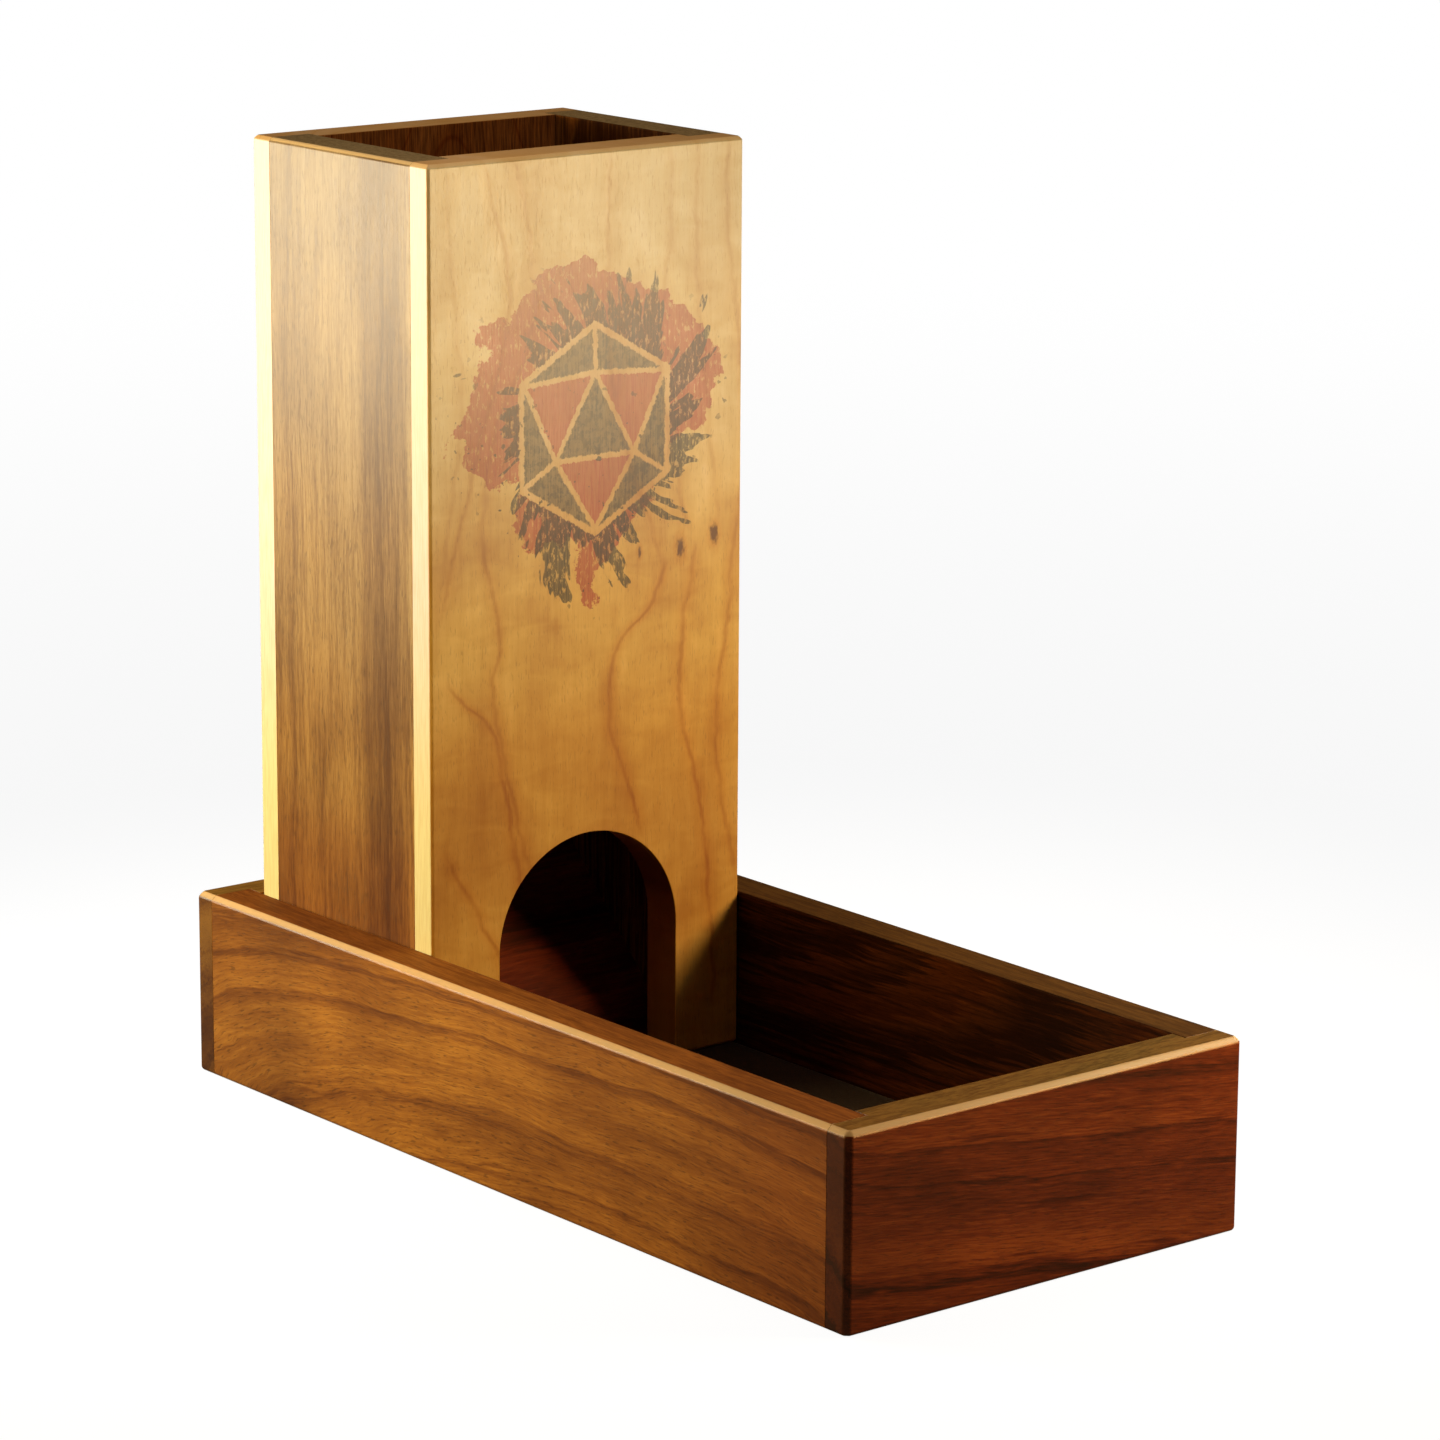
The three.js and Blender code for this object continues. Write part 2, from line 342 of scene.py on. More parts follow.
def swayed(graph, place, seed, amount):
    """The same place with the fibres swaying slowly from side to side."""
    along, across, through = place
    sway = graph.noise(graph.scaled(place, (0.03, 0.06, 0.06), seed))
    return along, graph.multiply_add(sway, amount, across), through


def facing(graph, axis):
    """How squarely the surface faces along an axis, from 0 to 1."""
    normal = graph.node("ShaderNodeNewGeometry").outputs["Normal"]
    return graph.absolute(graph.parts(normal)[axis])


def upper_face(graph):
    """Above 0 only where the surface is level."""
    return graph.step(facing(graph, UP), 0.9, 0.99)


def end_face(graph, board):
    """Above 0 only where the fibres are cut across."""
    return graph.step(facing(graph, board.axes[0]), 0.5, 0.95)


def inner_face(graph, board, through):
    """Above 0 only on the face that looks into the tray or the tower, where shade is painted and the
    finish is duller.
    """
    if board.inside is None:
        return 0.0
    start = board.thickness / 2 - INNER_SKIN
    return graph.step(graph.multiply(through, board.inside[0]), start - INNER_SKIN, start)


def edge_wear_and_highlight(graph, board):
    """Above 0 only on the eased outer edges at the top of the tray and the tower, which hands rub, along
    the upper part of each rounding, where a highlight is painted.
    """
    upward = facing(graph, UP)
    eased = graph.multiply(graph.step(upward, 0.45, 0.75), graph.step(upward, 0.99, 0.92))
    outermost = 0.0
    for place, (low, high) in zip(graph.position(), board.outline):
        from_middle = graph.absolute(graph.subtract(place, (low + high) / 2))
        start = (high - low) / 2 - WEAR_REACH
        outermost = graph.larger(outermost, graph.step(from_middle, start - 0.5, start))
    return graph.multiply(eased, outermost)


def faded(graph, fade, along, colour):
    """The colour with a slow change of tint along the board, which on some boards is painted light."""
    if fade is None:
        return colour
    share = graph.multiply_add(along, 0.5 / FADE_REACH, 0.5)
    stops = [(0.5 + 0.5 * place / FADE_REACH, tint) for place, tint in fade]
    return graph.tinted(colour, graph.ramp(share, stops, "EASE"))


def painted_inner_shade(graph, board, inner, streaks, colour):
    """The colour with painted shade on the inner face: tinted darker and redder, broken by streaks of
    grain.
    """
    if board.inside is None:
        return colour
    painted_shade = graph.tinted(graph.tinted(colour, board.inside[1]), graph.ramp(streaks, INNER_STREAKS))
    return graph.mix(inner, colour, painted_shade)


def grained_rim(graph, board, fine, coarse, rim, colour):
    """The colour with the upper edge's colour laid over it, partly wear and partly a painted sheen,
    mottled by the open grain.
    """
    mottle = graph.ramp(graph.average(fine, coarse), RIM_MOTTLE)
    return graph.covered(colour, rim, RIM_SHARE, graph.tinted(mottle, board.rim))


def satin_finish(graph, colour, roughness, dull, height, coat, tint=WHITE):
    """A rubbed satin finish. Where dull is 1 it has gone, and the wood is nearly bare."""
    polish = graph.multiply_add(dull, -POLISH_LOST, 1.0)
    return graph.finish(
        colour, graph.multiply_add(dull, DULL_ROUGHENING, roughness), height, WOOD_RELIEF,
        Coat_Weight=graph.multiply(polish, coat), Coat_Roughness=0.35,
        Specular_IOR_Level=graph.multiply(polish, 0.5), Specular_Tint=(*tint, 1.0),
    )


# ------------------------ walnut

# How many broad and how many narrow bands there are to one ring spacing.
BROAD_BANDS = 0.35
NARROW_BANDS = 1.2
# Each colour that lies over the wood has the share that it covers below it.
WALNUT_CLOUD = [(0.32, (0.66, 0.58, 0.52)), (0.5, WHITE), (0.68, (1.22, 1.24, 1.2))]
WALNUT_PORE = (0.012, 0.004, 0.002)
WALNUT_PORE_SHARE = 0.42
WALNUT_FLECK = (0.10, 0.055, 0.02)
WALNUT_END = (0.030, 0.009, 0.002)
WALNUT_END_SHARE = 0.6
# The pale colour of walnut's upper outer edges: partly rubbed wear, partly a painted highlight.
WALNUT_WEAR_AND_HIGHLIGHT = (0.86, 0.70, 0.42)
WALNUT_WEAR_AND_HIGHLIGHT_SHARE = 0.55
WALNUT_SHEEN = (1.0, 0.82, 0.55)


def walnut_tone(graph, board, distance, coarse, fine):
    """How light the wood is, and the narrow bands of its rings, both from 0 to 1."""
    ragged = graph.add(distance, graph.centred(coarse, 5.0))
    broad_place = graph.multiply_add(ragged, BROAD_BANDS / board.spacing, board.seed)
    narrow_place = graph.multiply_add(ragged, NARROW_BANDS / board.spacing, board.seed)
    broad = graph.noise_along(broad_place, 2.0, 0.5)
    narrow = graph.noise_along(narrow_place, 3.0, 0.65)
    dark_line = graph.larger(graph.step(narrow, 0.52, 0.74), graph.step(coarse, 0.56, 0.78, 0.0, 0.8))
    tone = graph.add(graph.centred(broad, board.bands), graph.centred(coarse, board.grain))
    tone = graph.add(tone, graph.centred(fine, board.grain))
    return graph.multiply_add(dark_line, -board.lines, graph.add(tone, 0.60)), narrow


def walnut_flecks(graph, board, place, patch, colour):
    """The colour with larger dark flecks, which gather in the darker patches."""
    dashes = graph.step(fibres(graph, place, board.seed + 17, 0.9, 4.5, 1.0), 0.56, 0.68)
    dashes = graph.multiply(dashes, graph.step(patch, 0.56, 0.40))
    return graph.covered(colour, dashes, board.flecks, WALNUT_FLECK)


def walnut(board):
    """Oiled walnut: bands and thin dark lines along the rings, fibres and short dark pores, with painted
    shade on an inner face and a painted sheen and highlight over the wear of the rims and upper edges.
    """
    graph = Graph("walnut_" + board.node)
    place = board_coordinates(graph, board)
    along, across, through = place
    distance = ring_distance(graph, board, place)
    fibre_place = swayed(graph, (along, distance if board.flow else across, through), board.seed, 3.0)
    coarse = fibres(graph, fibre_place, board.seed + 3, 1.3, 30.0)
    fine = fibres(graph, fibre_place, board.seed + 7, 0.42, 7.0)
    pores = graph.step(fibres(graph, fibre_place, board.seed + 11, 0.30, 3.4, 1.0), 0.585, 0.68)
    patch = graph.noise(graph.scaled(place, (0.022, 0.05, 0.03), board.seed), 3.0, 0.5)

    tone, narrow = walnut_tone(graph, board, distance, coarse, fine)
    colour = graph.tinted(graph.ramp(tone, board.palette), graph.ramp(patch, WALNUT_CLOUD), board.cloud)
    colour = faded(graph, board.fade, along, colour)
    colour = graph.covered(colour, pores, WALNUT_PORE_SHARE, WALNUT_PORE)
    if board.flecks:
        colour = walnut_flecks(graph, board, fibre_place, patch, colour)
    # The inner face: first painted shade on it, then a duller finish.
    dull = inner_face(graph, board, through)
    colour = painted_inner_shade(graph, board, dull, graph.average(narrow, coarse), colour)
    colour = graph.covered(colour, end_face(graph, board), WALNUT_END_SHARE, WALNUT_END)
    if not board.sloping:
        rim = upper_face(graph)
        colour = grained_rim(graph, board, fine, coarse, rim, colour)
        colour = graph.covered(colour, edge_wear_and_highlight(graph, board), WALNUT_WEAR_AND_HIGHLIGHT_SHARE, WALNUT_WEAR_AND_HIGHLIGHT)
        dull = graph.larger(rim, dull)
    roughness = graph.multiply_add(fine, 0.20, 0.30)
    height = graph.multiply_add(pores, -0.4, graph.multiply(fine, 0.4))
    return satin_finish(graph, colour, roughness, dull, height, coat=0.12, tint=WALNUT_SHEEN)


# ------------------------ maple

MAPLE_FLECK = (0.22, 0.09, 0.02)
MAPLE_FLECK_SHARE = 0.28
MAPLE_END = (0.56, 0.30, 0.10)
MAPLE_END_SHARE = 0.65
# The same for maple: partly rubbed wear, partly a painted highlight.
MAPLE_WEAR_AND_HIGHLIGHT = (0.74, 0.56, 0.30)
MAPLE_WEAR_AND_HIGHLIGHT_SHARE = 0.25
# A painted highlight on the maple panels' side edges: a paler cream with fibres, and a tint up the left
# edge.
EDGE_PAINTED_HIGHLIGHT = (0.85, 0.72, 0.60)
EDGE_PAINTED_HIGHLIGHT_SHARE = 0.85
EDGE_HIGHLIGHT_FIBRE = [(0.35, (0.90, 0.86, 0.78)), (0.60, WHITE)]
EDGE_HIGHLIGHT_FADE = [(-60, (0.97, 1.20, 0.82)), (20, (0.99, 1.06, 1.35)), (100, (0.96, 0.86, 0.92))]
# The painted shade on the arch's cut edge.
ARCH_PAINTED_SHADE = (0.26, 0.16, 0.11)
LINE_TINT = (0.70, 0.50, 0.30)
GLOW_TINT = (0.93, 0.80, 0.58)
KNOT_TINT = (0.22, 0.13, 0.08)
# The arch's cut edge, which gets painted shade, lies this near the panel's middle line, and below this
# place along it.
ARCH_REACH = 30.0
ARCH_TOP = -55.0


def maple_ground(graph, board, place):
    """Pale maple without its growth lines: soft figure, fibres and short flecks."""
    cloud = graph.noise(graph.scaled(place, (0.022, 0.04, 0.02), board.seed), 3.0, 0.55, 0.4)
    curl = graph.noise(graph.scaled(place, (0.16, 0.07, 0.05), board.seed), 2.0, 0.5, 0.8)
    coarse = fibres(graph, place, board.seed + 9, 2.2, 40.0)
    fine = fibres(graph, place, board.seed + 5, 0.5, 9.0)
    flecks = graph.step(fibres(graph, place, board.seed + 13, 0.34, 2.4, 1.0), 0.60, 0.72)
    tone = 0.5
    for layer, weight in ((cloud, 1.8), (curl, 0.6), (coarse, 0.4), (fine, 0.35)):
        tone = graph.add(graph.centred(layer, weight), tone)
    colour = faded(graph, board.fade, place[0], graph.ramp(tone, board.palette))
    return graph.covered(colour, flecks, MAPLE_FLECK_SHARE, MAPLE_FLECK), fine, flecks


def painted_edge_highlight(graph, board, place, fine, colour):
    """The colour with a painted highlight on the panel's side edges: a paler cream than the face, and on
    the left edge a tint of painted light that is yellower low down.
    """
    along, across, _through = place
    sideways = graph.step(facing(graph, board.axes[1]), 0.8, 0.98)
    half = board.width / 2
    outer_edge = graph.multiply(sideways, graph.step(graph.absolute(across), half - 4.0, half - 2.0))
    painted_cream = graph.tinted(graph.ramp(fine, EDGE_HIGHLIGHT_FIBRE), EDGE_PAINTED_HIGHLIGHT)
    on_left = graph.step(across, 10.0, -10.0)
    edge_colour = graph.mix(on_left, painted_cream, faded(graph, EDGE_HIGHLIGHT_FADE, along, painted_cream))
    return graph.covered(colour, outer_edge, EDGE_PAINTED_HIGHLIGHT_SHARE, edge_colour)


def painted_arch_shade(graph, board, place, colour):
    """The colour with painted shade on the arch's cut edge."""
    near_middle = graph.step(graph.absolute(place[1]), ARCH_REACH + 2.0, ARCH_REACH - 2.0)
    low_down = graph.step(place[0], ARCH_TOP + 5.0, ARCH_TOP - 5.0)
    cut_edge = graph.step(facing(graph, board.axes[2]), 0.5, 0.2)
    shaded_reveal = graph.multiply(graph.multiply(near_middle, cut_edge), low_down)
    return graph.tinted(colour, ARCH_PAINTED_SHADE, shaded_reveal)


def maple_finish(graph, board, place, colour, fine, flecks):
    """The edges, the inner face and the finish that both maple panels share, with painted highlights on
    the side and upper edges and painted shade on the arch's cut edge and the inner face.
    """
    colour = painted_edge_highlight(graph, board, place, fine, colour)
    colour = painted_arch_shade(graph, board, place, colour)
    inner = inner_face(graph, board, place[2])
    colour = painted_inner_shade(graph, board, inner, graph.multiply_add(fine, 0.4, 0.3), colour)
    colour = graph.covered(colour, end_face(graph, board), MAPLE_END_SHARE, MAPLE_END)
    colour = graph.covered(colour, edge_wear_and_highlight(graph, board), MAPLE_WEAR_AND_HIGHLIGHT_SHARE, MAPLE_WEAR_AND_HIGHLIGHT)
    roughness = graph.multiply_add(fine, 0.16, 0.34)
    height = graph.multiply_add(flecks, -0.6, graph.multiply(fine, 0.5))
    dull = graph.larger(upper_face(graph), inner)
    return satin_finish(graph, colour, roughness, dull, height, coat=0.2)


def maple(board):
    """A maple panel whose growth lines follow its rings."""
    graph = Graph("maple_" + board.node)
    place = board_coordinates(graph, board)
    distance = ring_distance(graph, board, place, detail=1.5)
    place = swayed(graph, place, board.seed, 3.0)
    colour, fine, flecks = maple_ground(graph, board, place)
    wander = graph.noise_along(graph.multiply_add(distance, 0.3 / board.spacing, board.seed), 1.0)
    rings = graph.multiply_add(distance, 1.0 / board.spacing, graph.multiply(wander, 2.0))
    from_line = graph.absolute(graph.subtract(graph.math("FRACT", rings), 0.5))
    colour = graph.tinted(colour, GLOW_TINT, graph.step(from_line, 0.30, 0.0, 0.0, 0.6))
    colour = graph.tinted(colour, LINE_TINT, graph.step(from_line, 0.055, 0.0, 0.0, 0.8))
    return maple_finish(graph, board, place, colour, fine, flecks)


# The front panel's growth lines: a strength, then the height and the place across of a few points.
GROWTH_LINES = [
    (0.35, [(262, -50), (225, -47), (195, -45), (165, -49), (140, -53)]),
    (0.60, [(262, -38), (245, -34), (225, -29), (195, -36), (165, -45), (140, -52)]),
    (0.60, [(262, -29), (240, -23), (215, -22), (190, -33), (160, -38), (132, -33), (122, -35),
            (98, -31), (66, -22)]),
    (0.75, [(125, -50), (117, -44), (110, -36), (90, -31), (66, -26), (40, -24)]),
    (0.65, [(80, -52), (66, -44), (48, -34), (30, -26)]),
    (0.55, [(262, 4), (235, 3), (205, 4), (180, 9), (160, 17), (146, 21)]),
    (0.85, [(150, 22), (137, 18), (129, 9), (120, 4), (106, 4), (90, 9), (72, 15)]),
    (0.40, [(262, 23), (235, 24), (205, 20), (180, 24), (160, 29), (152, 31)]),
    (0.80, [(152, 33), (138, 30), (115, 28), (100, 29), (80, 35), (55, 38), (20, 40)]),
    (0.45, [(262, 33), (235, 33), (200, 36), (170, 39), (155, 42)]),
    (0.60, [(262, 45), (245, 43), (225, 45), (200, 49), (170, 50), (150, 47), (130, 44), (105, 40),
            (85, 42), (55, 48)]),
]
# A curve node works from 0 to 1, so heights and places across are given as shares of these.
PANEL_REACH = 262.0
LINE_REACH = 75.0
# The front panel's pin knots: the place across, the height and the size of each.
PIN_KNOTS = [(31.0, 150.5, 1.0), (42.5, 153.0, 1.0), (17.0, 151.0, 0.5)]


def growth_line(graph, height, across, strength, points):
    """How dark one drawn growth line is, and its softer orange glow."""
    points = sorted(points)
    stops = [(z / PANEL_REACH, (x + LINE_REACH) / (2 * LINE_REACH)) for z, x in points]
    curve = graph.curve(graph.multiply(height, 1.0 / PANEL_REACH), stops)
    place = graph.multiply_add(curve, 2 * LINE_REACH, -LINE_REACH)
    away = graph.absolute(graph.subtract(across, place))
    start, end = points[0][0], points[-1][0]
    above_start = graph.step(height, start - 2, start + 8)
    ends = graph.multiply(above_start, graph.step(height, end + 2, end - 8))
    line = graph.multiply(graph.step(away, 1.3, 0.0, 0.0, strength), ends)
    glow = graph.multiply(graph.step(away, 5.0, 0.0, 0.0, strength), ends)
    return line, glow


def growth_lines(graph, colour, height, across):
    """The colour with every drawn growth line on it, fainter in places."""
    line, glow = 0.0, 0.0
    for strength, points in GROWTH_LINES:
        one_line, one_glow = growth_line(graph, height, across, strength, points)
        line = graph.larger(line, one_line)
        glow = graph.larger(glow, one_glow)
    patchy = graph.noise_over(height, across, (0.07, 0.08), 5.0, 3.0, 0.6)
    line = graph.multiply(line, graph.step(patchy, 0.30, 0.62, 0.45, 1.0))
    return graph.tinted(graph.tinted(colour, GLOW_TINT, glow), LINE_TINT, line)


def pin_knot(graph, colour, across, height, x, z, size):
    """The colour with one small dark knot, taller than wide, in an orange ring."""
    side = graph.multiply(graph.subtract(across, x), 1.0 / (1.1 * size))
    tall = graph.multiply(graph.subtract(height, z), 1.0 / (2.2 * size))
    ragged = graph.noise_over(across, height, (0.9, 0.5), x)
    away = graph.add(graph.centred(ragged, 2.2), graph.length(side, tall))
    colour = graph.tinted(colour, GLOW_TINT, graph.step(away, 3.2, 0.8))
    return graph.tinted(colour, KNOT_TINT, graph.step(away, 1.6, 0.5))


def front_maple(board):
    """The front panel: drawn growth lines, pin knots and the printed emblem."""
    graph = Graph("maple_" + board.node)
    place = board_coordinates(graph, board)
    along, across, through = swayed(graph, place, board.seed, 2.0)
    colour, fine, flecks = maple_ground(graph, board, (along, across, through))
    height = graph.add(along, board.middle[UP])
    wavy = graph.noise_over(along, across, (0.12, 0.05), 3.0)
    feathered = graph.add(graph.centred(fine, 0.9), graph.subtract(across, 1.0))
    feathered = graph.add(graph.centred(wavy, 4.0), feathered)
    feathered = graph.multiply_add(through, 0.5, feathered)
    colour = growth_lines(graph, colour, height, feathered)
    for x, z, size in PIN_KNOTS:
        colour = pin_knot(graph, colour, place[1], height, x, z, size)
    colour = emblem(graph, colour, place[1], height, fine)
    return maple_finish(graph, board, place, colour, fine, flecks)


# ------------------------ printed emblem

# The two inks: how much of the wood's red, green and blue they let through, and how dense they are.
CHARCOAL = (0.030, 0.036, 0.032)
CHARCOAL_SHARE = 0.97
TERRACOTTA = (0.57, 0.105, 0.10)
TERRACOTTA_SHARE = 0.95
EMBLEM_CENTRE = (2.0, 186.0)
DIE_RADIUS = 27.0
# How far the corners of the middle face are from the die's middle, as a share of its radius.
MIDDLE_FACE = 0.56
# The wash's half width against its height. The curve starts this far below the middle.
WASH_LOWEST = 50.0
WASH_HEIGHT = 100.0
WASH_OUTLINE = [(0.0, 0.0), (0.12, 0.30), (0.30, 0.55), (0.58, 0.90), (0.76, 0.86), (0.88, 0.55),
                (0.97, 0.0)]


def die_facets(graph, x, z):
    """A twenty-sided die seen face on, folded to one sixth.

    Returns masks from 0 to 1: the middle face, the three faces beside it, the six outer faces, and
    the whole die with the bare lines between its faces.
    """
    third = math.radians(120)
    folded = graph.absolute(graph.math("WRAP", graph.math("ARCTAN2", x, z), third / 2, -third / 2))
    radius = graph.length(x, z)
    u = graph.multiply(radius, graph.math("COSINE", folded))
    v = graph.multiply(radius, graph.math("SINE", folded))

    corner = MIDDLE_FACE * DIE_RADIUS
    short, tall = math.cos(third / 2), math.sin(third / 2)
    slant = Vector((short * DIE_RADIUS - corner, tall * DIE_RADIUS)).normalized()
    past_slant = graph.multiply(graph.subtract(u, corner), slant[1])
    past_slant = graph.multiply_add(v, -slant[0], past_slant)
    past_middle = graph.add(graph.multiply(u, short), graph.multiply(v, tall))
    past_middle = graph.subtract(past_middle, corner * short)
    past_outline = graph.add(graph.multiply(u, tall), graph.multiply(v, short))
    past_outline = graph.subtract(past_outline, tall * DIE_RADIUS)

    whole = graph.step(past_outline, 1.9, 1.5)
    body = graph.step(past_outline, 0.2, -0.2)
    middle = graph.step(past_middle, -0.5, -0.9)
    outer = graph.multiply(graph.step(past_slant, 0.5, 0.9), graph.step(v, 0.5, 0.9))
    beside = graph.multiply(graph.step(past_middle, 0.5, 0.9), graph.step(past_slant, -0.5, -0.9))
    return middle, graph.multiply(beside, body), graph.multiply(outer, body), whole


def ragged_wash(graph, x, z, rough, worn):
    """The mask of the red wash, and the distance in from its ragged edge."""
    lobes = graph.noise_over(x, z, (0.075, 0.075), 8.3)
    level = graph.multiply(graph.add(z, WASH_LOWEST), 1.0 / WASH_HEIGHT)
    half_width = graph.multiply_add(graph.curve(level, WASH_OUTLINE), 62.0, -15.0)
    inward = graph.subtract(half_width, graph.absolute(graph.add(x, 4.0)))
    inward = graph.add(graph.centred(lobes, 52.0), inward)
    inward = graph.add(graph.centred(rough, 12.0), inward)
    wash = graph.multiply(graph.step(inward, -0.3, 0.9), graph.step(worn, 0.34, 0.46, 0.35, 1.0))
    return wash, inward


def dark_strokes(graph, x, z, worn):
    """The mask of the dark strokes that stand round the die like rays, with a slight swirl."""
    radius = graph.length(x, z)
    swirl = graph.multiply_add(radius, 0.010, graph.math("ARCTAN2", x, z))
    ring_x = graph.multiply(graph.math("SINE", swirl), 4.5)
    ring_z = graph.multiply(graph.math("COSINE", swirl), 4.5)
    spokes = graph.noise(graph.vector(ring_x, ring_z, graph.multiply(radius, 0.035)), 3.0, 0.6)
    reach = graph.add(graph.centred(spokes, 95.0), 33.0)
    strokes = graph.step(graph.subtract(reach, radius), -0.3, 0.8)
    return graph.multiply(strokes, graph.step(worn, 0.36, 0.50, 0.25, 1.0))


def ink_specks(graph, x, z, inward):
    """The mask of the specks of dark ink round the wash, which are fewer above the die."""
    specks = graph.noise_over(x, z, (0.42, 0.42), 14.0)
    near = graph.multiply(graph.step(inward, -16.0, -3.0), graph.step(z, 30.0, -10.0, 0.3, 1.0))
    return graph.multiply(graph.step(specks, 0.66, 0.69), near)


def emblem(graph, colour, across, height, fine):
    """A worn ink print on the front face: a plain die in a ragged red wash with dark strokes."""
    x = graph.subtract(across, EMBLEM_CENTRE[0])
    z = graph.subtract(height, EMBLEM_CENTRE[1])
    rough = graph.noise_over(x, z, (0.45, 0.45), 1.0, 3.0, 0.65)
    worn = graph.noise_over(x, z, (0.9, 0.35), 9.0, 3.0, 0.7)
    wash, inward = ragged_wash(graph, x, z, rough, worn)
    strokes = dark_strokes(graph, x, z, worn)
    bent_x = graph.add(graph.centred(rough, 2.2), x)
    bent_z = graph.add(graph.centred(worn, 2.2), z)
    middle, beside, outer, whole = die_facets(graph, bent_x, bent_z)
    off_die = graph.subtract(1.0, whole)
    hatch = graph.step(graph.add(graph.multiply(rough, 0.6), graph.multiply(worn, 0.4)), 0.47, 0.55)

    red = graph.larger(graph.multiply(wash, off_die), beside)
    red = graph.larger(red, graph.multiply(whole, 0.22))
    faces = graph.multiply(graph.larger(outer, middle), graph.multiply_add(hatch, 0.18, 0.82))
    dark = graph.larger(graph.multiply(strokes, off_die), faces)
    dark = graph.larger(dark, ink_specks(graph, x, z, inward))

    fibre = graph.step(fine, 0.30, 0.66, 1.0, 0.80)
    on_face = graph.multiply(fibre, graph.step(facing(graph, 1), 0.96, 0.99))
    red = graph.multiply(graph.multiply(red, TERRACOTTA_SHARE), on_face)
    dark = graph.multiply(graph.multiply(dark, CHARCOAL_SHARE), on_face)
    return graph.tinted(graph.tinted(colour, TERRACOTTA, red), CHARCOAL, dark)


# ------------------------ wooden pieces

# Corner facets smaller than this are closed up, so that the rounding has room.
CRUMB = 0.36 * MM
# Slivers narrower than this, left where roundings meet at a corner, are closed up.
SLIVER = 0.01 * MM
# An edge this near another board is in a glued joint, and is rounded by this share.
JOINT_REACH = 0.15 * MM
JOINT_SHARE = 0.25
ROUNDING_SEGMENTS = 3
# Faces that meet at less than the first angle are one face, and at more than the second an edge.
FLAT_ANGLE = math.radians(0.5)
EDGE_ANGLE = math.radians(20)


def add_object(name, data):
    made = bpy.data.objects.new(name, data)
    bpy.context.scene.collection.objects.link(made)
    return made


def stand_in(piece, node, material):
    """Gives a piece its finish, and lets it stand for a CAD node and move with that node's body."""
    piece.data.materials.append(material)
    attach(piece, body_of(node))
    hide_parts(node)


def copy_of_node(node, name):
    """A new object with a clean copy of a CAD board: shared corners joined, flat faces whole."""
    shape = bmesh.new()
    shape.from_mesh(frame["nodes"][node].data)
    bmesh.ops.remove_doubles(shape, verts=shape.verts, dist=CRUMB)
    bmesh.ops.dissolve_limit(
        shape, angle_limit=FLAT_ANGLE, use_dissolve_boundaries=False,
        verts=shape.verts, edges=shape.edges,
    )
    mesh = bpy.data.meshes.new(name)
    shape.to_mesh(mesh)
    shape.free()
    mesh.materials.clear()
    return add_object(name, mesh)


def surfaces_of_others(node):
    """A search tree for every CAD board except one."""
    trees = []
    for other, source in frame["nodes"].items():
        if other == node:
            continue
        corners = [vertex.co for vertex in source.data.vertices]
        faces = [polygon.vertices for polygon in source.data.polygons]
        trees.append(BVHTree.FromPolygons(corners, faces))
    return trees


def weigh_edges(piece, node):
    """Marks how far each edge is rounded. Edges in a glued joint stay nearly crisp."""
    others = surfaces_of_others(node)
    shape = bmesh.new()
    shape.from_mesh(piece.data)
    weights = shape.edges.layers.float.new("bevel_weight_edge")
    for edge in shape.edges:
        if len(edge.link_faces) == 2 and edge.calc_face_angle(0.0) > EDGE_ANGLE:
            middle = (edge.verts[0].co + edge.verts[1].co) / 2
            joined = any(tree.find_nearest(middle, JOINT_REACH)[0] is not None for tree in others)
            edge[weights] = JOINT_SHARE if joined else 1.0
    for face in shape.faces:
        face.smooth = True
    shape.to_mesh(piece.data)
    shape.free()


def round_edges(piece, width):
    """Rounds the marked edges, and shades the flat faces flat."""
    bevel = piece.modifiers.new("round_edges", "BEVEL")
    bevel.limit_method = "WEIGHT"
    bevel.width = width
    bevel.segments = ROUNDING_SEGMENTS
    bevel.use_clamp_overlap = True
    weld = piece.modifiers.new("close_slivers", "WELD")
    weld.merge_threshold = SLIVER
    weighted = piece.modifiers.new("even_shading", "WEIGHTED_NORMAL")
    weighted.weight = 100


def wooden_piece(board, material):
    piece = copy_of_node(board.node, board.node + "_wood")
    weigh_edges(piece, board.node)
    round_edges(piece, board.rounding * MM)
    stand_in(piece, board.node, material)


def tones(*colours):
    """A palette from a board's darkest wood to its lightest."""
    return list(zip((0.0, 0.3, 0.6, 1.0), colours))


GOLDEN_WALNUT = tones(
    (0.10, 0.036, 0.007), (0.18, 0.070, 0.012), (0.29, 0.130, 0.022), (0.46, 0.24, 0.045))
RED_WALNUT = tones(
    (0.030, 0.005, 0.0012), (0.080, 0.0115, 0.0025), (0.145, 0.024, 0.005), (0.26, 0.062, 0.012))
DARK_WALNUT = tones(
    (0.014, 0.003, 0.001), (0.034, 0.006, 0.0015), (0.060, 0.012, 0.003), (0.11, 0.026, 0.007))
GREY_WALNUT = tones(
    (0.12, 0.060, 0.018), (0.20, 0.115, 0.038), (0.285, 0.185, 0.068), (0.39, 0.28, 0.12))
BROWN_WALNUT = tones(
    (0.050, 0.0145, 0.0033), (0.10, 0.034, 0.007), (0.165, 0.065, 0.014), (0.27, 0.12, 0.028))
